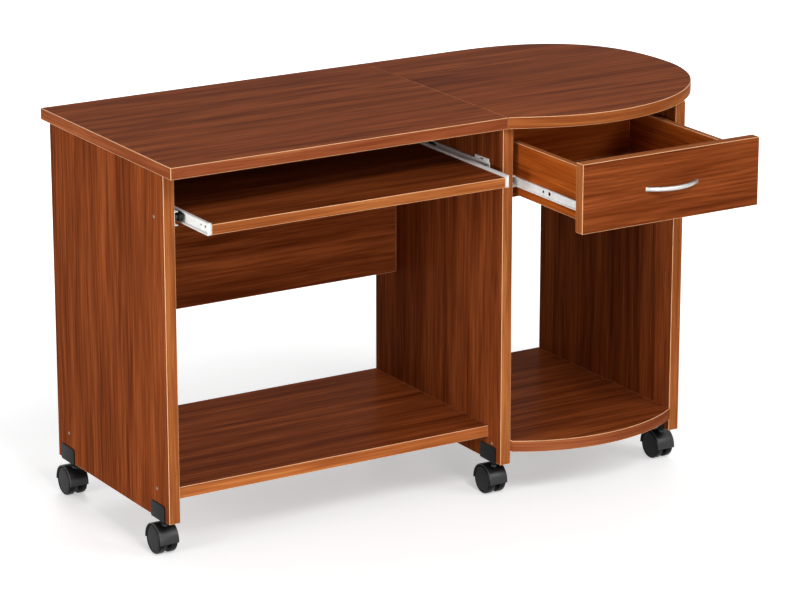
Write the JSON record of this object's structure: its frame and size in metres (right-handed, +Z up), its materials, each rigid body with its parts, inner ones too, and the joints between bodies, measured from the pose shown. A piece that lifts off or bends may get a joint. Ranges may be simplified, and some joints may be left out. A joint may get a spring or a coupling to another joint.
{
  "type": "computer desk",
  "caption": "Wheeled computer desk: rectangular worktop with a round-ended extension, pull-out keyboard tray, drawer with a bow handle, shelves and swivel casters.",
  "frame": {"origin": "On the floor, in the middle of the plan's bounding box with the tray and the drawer pulled out as in the picture.", "axes": "+X runs along the desk from the plain end to the round end, -Y is the front, where one sits, and +Z is up."},
  "size_m": [1.217, 0.7724, 0.75],
  "materials": {
    "cherry_laminate": "Red-brown cherry wood-grain laminate on particle board, satin, with lighter banded edges.",
    "white_enamel": "White baked enamel on pressed steel.",
    "satin_nickel": "Satin nickel plate.",
    "black_enamel": "Black enamel on folded steel.",
    "black_plastic": "Black satin moulded plastic.",
    "zinc_steel": "Zinc-plated steel."
  },
  "bodies": {
    "desk": {"main_top": "cherry_laminate", "extension_top": "cherry_laminate", "left_panel": "cherry_laminate", "middle_panel": "cherry_laminate", "right_panel": "cherry_laminate", "modesty_panel": "cherry_laminate", "bottom_shelf": "cherry_laminate", "extension_shelf": "cherry_laminate", "extension_back_panel": "cherry_laminate", "tray_rail_left": "white_enamel", "tray_rail_right": "white_enamel", "drawer_rail_left": "white_enamel", "drawer_rail_right": "white_enamel", "shelf_screw_front": "zinc_steel", "shelf_screw_back": "zinc_steel", "extension_screw_front": "zinc_steel", "extension_screw_back": "zinc_steel", "tray_rail_screw": "zinc_steel", "caster_bracket_left_front": "black_enamel", "caster_bracket_left_back": "black_enamel", "caster_bracket_middle_front": "black_enamel", "caster_bracket_middle_back": "black_enamel", "caster_bracket_right_front": "black_enamel", "caster_bracket_right_back": "black_enamel"},
    "tray": {"keyboard_tray": "cherry_laminate", "tray_runner_left": "white_enamel", "tray_runner_right": "white_enamel"},
    "drawer": {"drawer_front": "cherry_laminate", "drawer_side_left": "cherry_laminate", "drawer_side_right": "cherry_laminate", "drawer_back": "cherry_laminate", "drawer_bottom": "cherry_laminate", "drawer_handle": "satin_nickel", "drawer_runner_left": "white_enamel", "drawer_runner_right": "white_enamel"},
    "caster_left_front": {"caster_body_left_front": "black_plastic", "caster_axle_left_front": "zinc_steel"},
    "wheel_left_front_left": {"caster_wheel_left_front_left": "black_plastic"},
    "wheel_left_front_right": {"caster_wheel_left_front_right": "black_plastic"},
    "caster_left_back": {"caster_body_left_back": "black_plastic", "caster_axle_left_back": "zinc_steel"},
    "wheel_left_back_left": {"caster_wheel_left_back_left": "black_plastic"},
    "wheel_left_back_right": {"caster_wheel_left_back_right": "black_plastic"},
    "caster_middle_front": {"caster_body_middle_front": "black_plastic", "caster_axle_middle_front": "zinc_steel"},
    "wheel_middle_front_left": {"caster_wheel_middle_front_left": "black_plastic"},
    "wheel_middle_front_right": {"caster_wheel_middle_front_right": "black_plastic"},
    "caster_middle_back": {"caster_body_middle_back": "black_plastic", "caster_axle_middle_back": "zinc_steel"},
    "wheel_middle_back_left": {"caster_wheel_middle_back_left": "black_plastic"},
    "wheel_middle_back_right": {"caster_wheel_middle_back_right": "black_plastic"},
    "caster_right_front": {"caster_body_right_front": "black_plastic", "caster_axle_right_front": "zinc_steel"},
    "wheel_right_front_left": {"caster_wheel_right_front_left": "black_plastic"},
    "wheel_right_front_right": {"caster_wheel_right_front_right": "black_plastic"},
    "caster_right_back": {"caster_body_right_back": "black_plastic", "caster_axle_right_back": "zinc_steel"},
    "wheel_right_back_left": {"caster_wheel_right_back_left": "black_plastic"},
    "wheel_right_back_right": {"caster_wheel_right_back_right": "black_plastic"}
  },
  "joints": [
    {"name": "tray_slide", "type": "slide", "parent": "desk", "child": "tray", "axis": [0, -1, 0], "range_m": [-0.094, 0.12]},
    {"name": "drawer_slide", "type": "slide", "parent": "desk", "child": "drawer", "axis": [0, -1, 0], "range_m": [-0.224, 0.05]},
    {"name": "swivel_left_front", "type": "hinge", "parent": "desk", "child": "caster_left_front", "pos_m": [-0.5855, -0.03485, 0.06], "axis": [0, 0, 1], "continuous": true},
    {"name": "spin_left_front_left", "type": "hinge", "parent": "caster_left_front", "child": "wheel_left_front_left", "pos_m": [-0.599, -0.02485, 0.02726], "axis": [1, 0, 0], "continuous": true},
    {"name": "spin_left_front_right", "type": "hinge", "parent": "caster_left_front", "child": "wheel_left_front_right", "pos_m": [-0.572, -0.02485, 0.02726], "axis": [1, 0, 0], "continuous": true},
    {"name": "swivel_left_back", "type": "hinge", "parent": "desk", "child": "caster_left_back", "pos_m": [-0.5855, 0.33215, 0.06], "axis": [0, 0, 1], "continuous": true},
    {"name": "spin_left_back_left", "type": "hinge", "parent": "caster_left_back", "child": "wheel_left_back_left", "pos_m": [-0.599, 0.34215, 0.02726], "axis": [1, 0, 0], "continuous": true},
    {"name": "spin_left_back_right", "type": "hinge", "parent": "caster_left_back", "child": "wheel_left_back_right", "pos_m": [-0.572, 0.34215, 0.02726], "axis": [1, 0, 0], "continuous": true},
    {"name": "swivel_middle_front", "type": "hinge", "parent": "desk", "child": "caster_middle_front", "pos_m": [0.0995, -0.07585, 0.06], "axis": [0, 0, 1], "continuous": true},
    {"name": "spin_middle_front_left", "type": "hinge", "parent": "caster_middle_front", "child": "wheel_middle_front_left", "pos_m": [0.086, -0.06585, 0.02726], "axis": [1, 0, 0], "continuous": true},
    {"name": "spin_middle_front_right", "type": "hinge", "parent": "caster_middle_front", "child": "wheel_middle_front_right", "pos_m": [0.113, -0.06585, 0.02726], "axis": [1, 0, 0], "continuous": true},
    {"name": "swivel_middle_back", "type": "hinge", "parent": "desk", "child": "caster_middle_back", "pos_m": [0.0995, 0.29715, 0.06], "axis": [0, 0, 1], "continuous": true},
    {"name": "spin_middle_back_left", "type": "hinge", "parent": "caster_middle_back", "child": "wheel_middle_back_left", "pos_m": [0.086, 0.30715, 0.02726], "axis": [1, 0, 0], "continuous": true},
    {"name": "spin_middle_back_right", "type": "hinge", "parent": "caster_middle_back", "child": "wheel_middle_back_right", "pos_m": [0.113, 0.30715, 0.02726], "axis": [1, 0, 0], "continuous": true},
    {"name": "swivel_right_front", "type": "hinge", "parent": "desk", "child": "caster_right_front", "pos_m": [0.4895, -0.07585, 0.06], "axis": [0, 0, 1], "continuous": true},
    {"name": "spin_right_front_left", "type": "hinge", "parent": "caster_right_front", "child": "wheel_right_front_left", "pos_m": [0.476, -0.06585, 0.02726], "axis": [1, 0, 0], "continuous": true},
    {"name": "spin_right_front_right", "type": "hinge", "parent": "caster_right_front", "child": "wheel_right_front_right", "pos_m": [0.503, -0.06585, 0.02726], "axis": [1, 0, 0], "continuous": true},
    {"name": "swivel_right_back", "type": "hinge", "parent": "desk", "child": "caster_right_back", "pos_m": [0.4895, 0.29766, 0.06], "axis": [0, 0, 1], "continuous": true},
    {"name": "spin_right_back_left", "type": "hinge", "parent": "caster_right_back", "child": "wheel_right_back_left", "pos_m": [0.476, 0.30766, 0.02726], "axis": [1, 0, 0], "continuous": true},
    {"name": "spin_right_back_right", "type": "hinge", "parent": "caster_right_back", "child": "wheel_right_back_right", "pos_m": [0.503, 0.30766, 0.02726], "axis": [1, 0, 0], "continuous": true}
  ]
}
